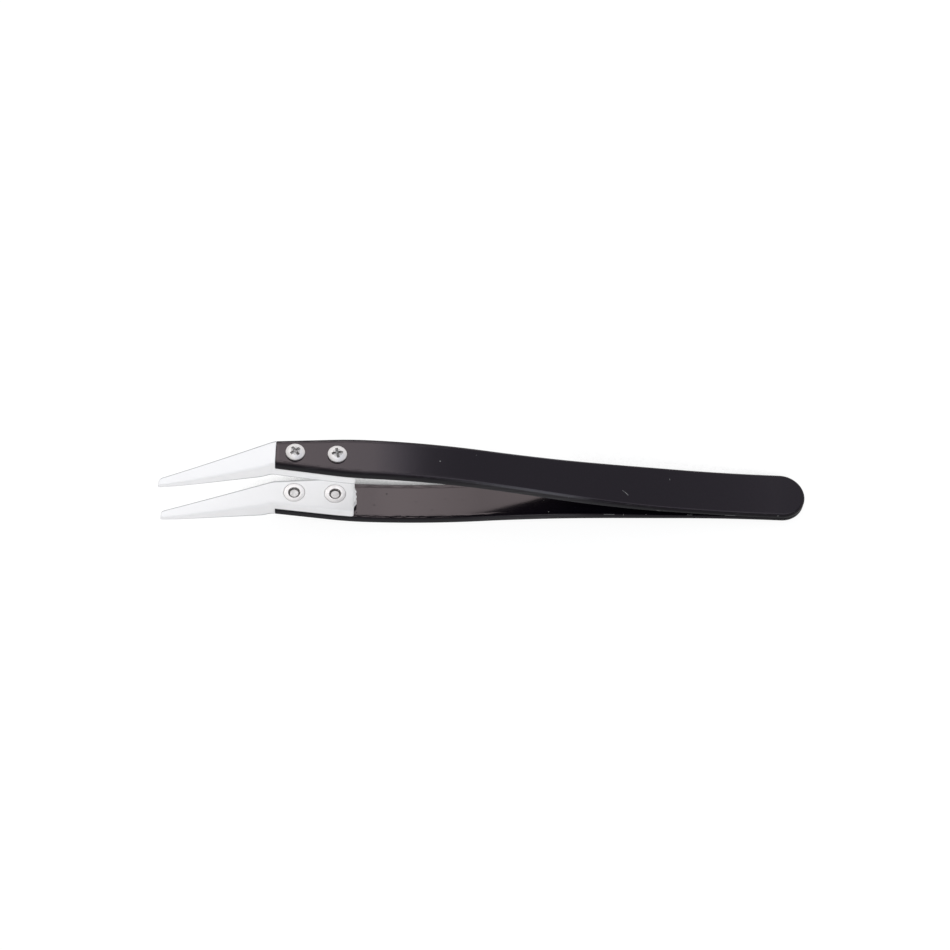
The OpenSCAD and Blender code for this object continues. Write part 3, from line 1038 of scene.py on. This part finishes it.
PITS = [
    ((-22.55, 0.0, 2.48), 0.14),
    ((-20.06, 2.74, 2.31), 0.16),
    ((-14.05, 0.88, 2.07), 0.11),
    ((-10.79, -1.09, 2.04), 0.12),
    ((-8.02, 1.49, 2.07), 0.10),
    ((-4.50, 1.15, 2.18), 0.11),
    ((-26.1, -1.9, 2.75), 0.12),
    ((-17.2, -2.4, 2.2), 0.13),
]
COAT_NOISE = {
    "peel": ((1, 1, 1), 1.1, 2.0, 0),
    "clouds": ((1, 1, 1), 0.12, 2.0, 3),
    "wear_and_painted_light_marks": ((0.25, 4, 4), 1.0, 3.0, 7),
    "wavy": ((0.5, 1.5, 1.5), 1.0, 2.0, 4),
    "highlight_streaks": ((0.04, 5, 5), 1.0, 2.0, 11),
}
WEAR_AND_LIGHT_STOPS = [(0.55, 0), (0.75, 1)]
HIGHLIGHT_STREAK_STOPS = [(0.5, 0), (0.6, 1)]
# Where fingers hold the arms; the edges and side walls there also get painted highlight.
GRIP_AND_HIGHLIGHT_FROM, GRIP_AND_HIGHLIGHT_TO = -12.0, 12.0
GRIP_AND_HIGHLIGHT_END, GRIP_AND_HIGHLIGHT_FADE = 14.0, 10.0
GRIP_WEAR_AND_HIGHLIGHT = 0.8
BEAD_MIDDLE, BEAD_HALF = 0.66, 0.34
BEAD_WANDER, BEAD_LEAST = 0.5, 0.4
PIT_SINK, BEAD_RISE, COAT_RELIEF = 4, 9, 0.000003
BLACK = (0.0042, 0.0034, 0.0060, 1)
WEAR_AND_HIGHLIGHT_GREY = (0.08, 0.08, 0.09, 1)
SCRATCH_AND_GLINT_GREY = (0.26, 0.26, 0.26, 1)
WEAR_AND_HIGHLIGHT_TINT, GRIP_HIGHLIGHT_TINT, HIGHLIGHT_STREAK_TINT, SCRATCH_AND_GLINT_TINT = 0.35, 0.6, 0.3, 0.7
FACE_ROUGH, CLOUD_ROUGH, WORN_ROUGH, PIT_ROUGH = 0.10, 0.04, 0.1, 0.35
WALL_ROUGH, WALL_ROUGHER = 0.34, 0.14
WALL_MATT, GRIP_GLOSS, PIT_MATT = 0.97, 0.1, 0.8


def black_coat():
    material, graph = new_finish("black_coat")
    place = own_place(graph)
    peel, clouds, wear_and_painted_light_marks, wavy, highlight_streaks = (
        cloudy(graph, own_place(graph, stretch), *lumps) for stretch, *lumps in COAT_NOISE.values()
    )
    edge, side = carried(graph, "edge_wear"), carried(graph, "side_wall")
    x = graph.add("ShaderNodeSeparateXYZ", [place])
    towards_heel = ease((x - GRIP_AND_HIGHLIGHT_FROM) / (GRIP_AND_HIGHLIGHT_TO - GRIP_AND_HIGHLIGHT_FROM))
    grip_and_highlight = towards_heel * (1 - ease((x - GRIP_AND_HIGHLIGHT_END) / GRIP_AND_HIGHLIGHT_FADE))
    wander = BEAD_WANDER * (wavy - 0.5)
    off_bead = abs(carried(graph, "from_edge") - BEAD_MIDDLE + wander) / BEAD_HALF
    bead = ease(1 - off_bead) * (BEAD_LEAST + wavy) * (1 - towards_heel)
    # Painted highlight streaks along the side walls on the grip.
    highlight_streaked = side * ramp(graph, highlight_streaks, HIGHLIGHT_STREAK_STOPS) * grip_and_highlight
    # Edges painted lighter grey: partly wear, partly painted highlight, strongest on the grip.
    wear_and_painted_light = edge * clip(ramp(graph, wear_and_painted_light_marks, WEAR_AND_LIGHT_STOPS) + GRIP_WEAR_AND_HIGHLIGHT * grip_and_highlight, 0, 1)
    scratch_and_glint_marks = clip(sum(line_mark(graph, place, *line) for line in SCRATCHES_AND_GLINTS), 0, 1)
    pits = clip(sum(line_mark(graph, place, spot, spot, radius) for spot, radius in PITS), 0, 1)
    # Colour: edges lightened as wear and painted highlight, walls with painted highlight streaks,
    # then scratches and painted glints.
    colour = tinted(graph, WEAR_AND_HIGHLIGHT_TINT * wear_and_painted_light + GRIP_HIGHLIGHT_TINT * edge * grip_and_highlight, BLACK, WEAR_AND_HIGHLIGHT_GREY)
    colour = tinted(graph, HIGHLIGHT_STREAK_TINT * highlight_streaked, colour, WEAR_AND_HIGHLIGHT_GREY)
    colour = tinted(graph, SCRATCH_AND_GLINT_TINT * scratch_and_glint_marks, colour, SCRATCH_AND_GLINT_GREY)
    bump = relief(graph, peel - PIT_SINK * pits + BEAD_RISE * bead, COAT_RELIEF)
    lacquer = {
        "Base Color": colour,
        "Roughness": FACE_ROUGH + CLOUD_ROUGH * clouds + WORN_ROUGH * wear_and_painted_light + PIT_ROUGH * pits,
        "IOR": 1.45,
        "Specular Tint": (1.0, 0.84, 0.86, 1),
        "Normal": bump,
    }
    thin = {
        "Base Color": colour,
        "Roughness": WALL_ROUGH + WALL_ROUGHER * wear_and_painted_light_marks,
        "Specular IOR Level": 0.08,
        "Normal": bump,
    }
    matt = clip((WALL_MATT - GRIP_GLOSS * grip_and_highlight) * side + PIT_MATT * pits, 0, 1)
    layers = [matt, shader(graph, lacquer), shader(graph, thin)]
    return close_finish(material, graph, graph.add("ShaderNodeMixShader", layers))


coat = black_coat()

# %% [markdown]
# Zirconia is a dense white ceramic with a soft polish and a very faint mottle. Light could
# travel under its surface, but here a plain surface came closer to the photograph. Two long
# edges of each tip, and the edges round its end, get a fine grey line of painted shade that
# draws the outline.

# %% White ceramic
CERAMIC_WHITE = (0.945, 0.937, 0.937, 1)
CERAMIC_PALE = (0.932, 0.925, 0.927, 1)
CERAMIC_OUTLINE_SHADE = (0.34, 0.342, 0.35, 1)
MOTTLE_SCALE, GRAIN_SCALE = 0.15, 9.0
OUTLINE_STOPS = [(0.1, 0), (0.9, 1)]
OUTLINE_LEAST = 0.7
POLISH_ROUGH, MOTTLE_ROUGH = 0.28, 0.06
GRAIN_RELIEF = 0.000002


def white_ceramic():
    material, graph = new_finish("white_ceramic")
    place = own_place(graph)
    mottle = cloudy(graph, place, MOTTLE_SCALE)
    grain = cloudy(graph, place, GRAIN_SCALE, seed=2)
    # Painted shade: a grey outline along the marked edges.
    edge = ramp(graph, carried(graph, "edge_wear"), OUTLINE_STOPS)
    edge = edge * (OUTLINE_LEAST + (1 - OUTLINE_LEAST) * mottle)
    colour = tinted(graph, mottle, CERAMIC_WHITE, CERAMIC_PALE)
    surface = {
        "Base Color": tinted(graph, edge, colour, CERAMIC_OUTLINE_SHADE),
        "Roughness": POLISH_ROUGH + MOTTLE_ROUGH * mottle,
        "Normal": relief(graph, grain, GRAIN_RELIEF),
    }
    return close_finish(material, graph, shader(graph, surface))


ceramic = white_ceramic()

# %% [markdown]
# Screws and nuts have the same bright zinc plating, satin rather than polished, so that they
# look evenly bright from all sides. The cross recesses and the mouths of the nuts, where the
# modelling trees marked them, are painted dark as shade with some grime, broken up by flecks of
# noise. The weld nuggets are the same kind of finish in a duller steel.

# %% Plated steel and weld steel
SHADE_AND_GRIME = (0.10, 0.092, 0.088, 1)
SHADE_AND_GRIME_LEAST, SHADE_AND_GRIME_FLECKS = 0.55, 0.9
FINE_SCALE, FLECK_SCALE = 14.0, 4.5
FLECK_STOPS = [(0.38, 0), (0.62, 1)]
SCUFF_STOPS = [(0.4, 0), (0.75, 1)]
SCUFF_SHADE = 0.9
SCUFF_ROUGH = 0.12
FINE_RELIEF = 0.000004
ZINC = (0.79, 0.765, 0.758, 1)
WELD_STEEL = (0.5, 0.5, 0.52, 1)


def bare_metal(name, colour, rough, lump):
    material, graph = new_finish(name)
    place = own_place(graph)
    scuff = cloudy(graph, place, lump, 3.0)
    fine = cloudy(graph, place, FINE_SCALE, seed=5)
    flecks = ramp(graph, cloudy(graph, place, FLECK_SCALE, seed=9), FLECK_STOPS)
    dull = tuple(SCUFF_SHADE * c for c in colour[:3]) + (1,)
    clean = tinted(graph, ramp(graph, scuff, SCUFF_STOPS), colour, dull)
    # Painted shade with some grime, where the trees marked recesses and bores.
    grime = clip(carried(graph, "grime") * (SHADE_AND_GRIME_LEAST + SHADE_AND_GRIME_FLECKS * flecks), 0, 1)
    surface = {
        "Base Color": tinted(graph, grime, clean, SHADE_AND_GRIME),
        "Metallic": 1 - grime,
        "Roughness": rough + SCUFF_ROUGH * scuff,
        "Normal": relief(graph, fine, FINE_RELIEF),
    }
    return close_finish(material, graph, shader(graph, surface))


plated = bare_metal("plated_steel", ZINC, rough=0.44, lump=1.5)
weld = bare_metal("weld_steel", WELD_STEEL, rough=0.4, lump=3.0)

# %% [markdown]
# Each half gets its arm, its tip, two screws and two nuts. A real arm has no hinge: it bends
# along its thin rear. The other pieces ride with the half. The weld nuggets keep their imported
# meshes.

# %% Make the pieces
RECESS_TURNS = {"upper_front": 38, "upper_rear": 12, "lower_front": 65, "lower_rear": 27}
trees = {
    "arm": arm_tree(coat),
    "tip": bored_tree(ceramic),
    "screw": screw_tree(plated),
    "nut": nut_tree(plated),
}

for half, place in HALVES.items():
    blade = grow(f"{half}_bent_arm", trees["arm"], place, ARM)
    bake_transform(blade)
    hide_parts(f"{half}_arm")
    tip = grow(f"{half}_ceramic_tip", trees["tip"], place @ SEAT, BORES, ceramic_blank(half))
    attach(tip, half)
    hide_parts(f"{half}_tip")
    for name, back in (("front", FRONT_SCREW), ("rear", REAR_SCREW)):
        seat = place @ SEAT @ Matrix.Translation((back, 0, 0))
        sizes = {**SCREW, "recess_turn": RECESS_TURNS[f"{half}_{name}"]}
        screw = grow(f"{half}_{name}_cross_screw", trees["screw"], seat, sizes)
        nut = grow(f"{half}_{name}_sleeve_nut", trees["nut"], seat, NUT)
        for piece, node in ((screw, "screw"), (nut, "nut")):
            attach(piece, half)
            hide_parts(f"{half}_{name}_{node}")

for name in ("left_spot_weld", "right_spot_weld"):
    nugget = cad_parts[name]
    nugget.data.materials.clear()
    nugget.data.materials.append(weld)

# %% [markdown]
# The bench is a pale floor that looks pure white in the picture. A floor lit until it is white
# would throw too much light at the object, so its white is a glow that only the camera and the
# rays which metal or gloss sends on can see. An Ambient Occlusion node takes that glow away
# where the tweezers stand close by, which keeps their shadow. The node looks towards the front
# rather than straight up, so the shadow gathers under and behind the arms.

# %% Floor
FLOOR_HALF = 2.5
SHADOW_REACH = 0.03
SHADOW_SAMPLES = 16
SHADOW_DARK, SHADOW_CLEAR = 0.44, 0.57
LIT_FROM = [0.0, -0.8, 0.6]
BENCH_GREY, SHADOW_GREY = 0.88, 0.12
LEAST_GLOW, MORE_GLOW = 0.14, 0.78


def bench_finish():
    material, graph = new_finish("pale_bench")
    own = graph.add("ShaderNodeBsdfDiffuse", {"Color": grey(BENCH_GREY)})
    shadowed = graph.add("ShaderNodeBsdfDiffuse", {"Color": grey(SHADOW_GREY)})
    towards = graph.add("ShaderNodeCombineXYZ", LIT_FROM)
    reach = {"Distance": SHADOW_REACH, "Normal": towards}
    clear = graph.add("ShaderNodeAmbientOcclusion", reach, "AO", samples=SHADOW_SAMPLES)
    lit = LEAST_GLOW + MORE_GLOW * ease((clear - SHADOW_DARK) / (SHADOW_CLEAR - SHADOW_DARK))
    glow = graph.add("ShaderNodeEmission", {"Color": grey(1.0), "Strength": lit})
    white = graph.add("ShaderNodeAddShader", [glow, shadowed])
    kinds = ("Camera", "Glossy", "Transmission")
    seen = sum(graph.add("ShaderNodeLightPath", output=f"Is {kind} Ray") for kind in kinds)
    seen = clip(seen, 0, 1)
    return close_finish(material, graph, graph.add("ShaderNodeMixShader", [seen, own, white]))


bench_mesh = bpy.data.meshes.new("pale_bench")
corners = [(x * FLOOR_HALF, y * FLOOR_HALF, 0) for x, y in ((-1, -1), (1, -1), (1, 1), (-1, 1))]
bench_mesh.from_pydata(corners, [], [range(4)])
bench_mesh.materials.append(bench_finish())
bench = bpy.data.objects.new("pale_bench", bench_mesh)
bpy.context.scene.collection.objects.link(bench)
print("bench", 2 * FLOOR_HALF, "m square")

# %% [markdown]
# The light is one soft studio, written by direction into the world, because a black mirror
# shows the whole room and not only its lamps. A white band runs all round from the horizon up,
# and doubles as the backdrop. Above it the room is dim in front, lighter behind, and bright
# straight overhead. A soft box hangs behind the tips, and fades out towards the heel: that is
# why the black faces are grey at the nose and dark at the heel.

# %% Studio light
BAND_TOP, BAND_FADE = 0.54, 0.13
ROOM_BACK, ROOM_FRONT = 0.46, 0.28
BACK_FROM, BACK_FADE = 0.1, 0.2
ROOM_TOP = 1.32
TOP_FROM, TOP_FADE = 0.8, 0.1
BOX_FRONT, BOX_BACK, BOX_SOFT = 0.40, 0.70, 0.06
TINT_FROM, TINT_FADE = 0.05, 0.2
HEEL_TINT = (0.94, 1.0, 1.13, 1)
BOX_LEVELS = [
    (-1.0, 0.5),
    (-0.5, 0.7),
    (-0.25, 1.6),
    (-0.14, 2.9),
    (0.02, 3.8),
    (0.065, 3.7),
    (0.095, 2.95),
    (0.125, 2.75),
    (0.16, 2.2),
    (0.2, 1.55),
    (0.235, 0.95),
    (0.27, 0.58),
    (0.36, 0.48),
]


def box_level(graph, x):
    """The level of the soft box and of the room behind it, by the sideways direction."""
    most = max(level for _, level in BOX_LEVELS)
    stops = [((place + 1) / 2, level / most) for place, level in BOX_LEVELS]
    return ramp(graph, x / 2 + 0.5, stops) * most


world = bpy.data.worlds.new("studio")
world.use_nodes = True
world.node_tree.nodes.clear()
sky = Graph(world.node_tree)
direction = sky.add("ShaderNodeTexCoord", output="Generated")
x, y, z = (sky.add("ShaderNodeSeparateXYZ", [direction], i) for i in range(3))
behind = ease((y - BACK_FROM) / BACK_FADE)
in_box = ease((y - BOX_FRONT + BOX_SOFT) / (2 * BOX_SOFT))
in_box = in_box * ease((BOX_BACK + BOX_SOFT - y) / (2 * BOX_SOFT))
room = pick(behind, ROOM_BACK, ROOM_FRONT)
room = pick(ease((z - TOP_FROM) / TOP_FADE), ROOM_TOP, room)
room = pick(in_box, box_level(sky, x), room)
band = 1 - ease((z - BAND_TOP) / BAND_FADE)
bluer = (1 - band) * ease((x - TINT_FROM) / TINT_FADE)
tint = tinted(sky, bluer, grey(1), HEEL_TINT)
light = {"Color": tint, "Strength": pick(band, 1.0, room)}
glow = sky.add("ShaderNodeBackground", light)
sky.add("ShaderNodeOutputWorld", {"Surface": glow}, output=None)
bpy.context.scene.world = world
bpy.context.scene.view_settings.view_transform = "Standard"
print("soft box up to", max(level for _, level in BOX_LEVELS))

# %% [markdown]
# The photograph was taken from high in front, about 58 degrees above the bench, from so far off
# that the tweezers hardly narrow with distance. The place and aim below come from matching the
# arms' edges and the screws' centres.

# %% Camera
CAMERA_PLACE = Vector((7.71, -248.80, 405.28)) * MM
CAMERA_AIM = Vector((-1.80, 1.46, 11.13)) * MM
CAMERA_LEVEL = Vector((0.99971, 0.00005, -0.02409))
LENS_MM, SENSOR_MM = 88.07, 36
NEAREST, FURTHEST = 0.01, 20

back = (CAMERA_PLACE - CAMERA_AIM).normalized()
right = (CAMERA_LEVEL - CAMERA_LEVEL.dot(back) * back).normalized()
aimed = Matrix((right, back.cross(right), back)).transposed().to_4x4()
eye = bpy.data.objects.new("camera", bpy.data.cameras.new("camera"))
bpy.context.scene.collection.objects.link(eye)
eye.matrix_world = Matrix.Translation(CAMERA_PLACE) @ aimed
eye.data.lens = LENS_MM
eye.data.sensor_width = SENSOR_MM
eye.data.clip_start, eye.data.clip_end = NEAREST, FURTHEST
bpy.context.scene.camera = eye
print("camera at", tuple(round(v, 4) for v in CAMERA_PLACE))
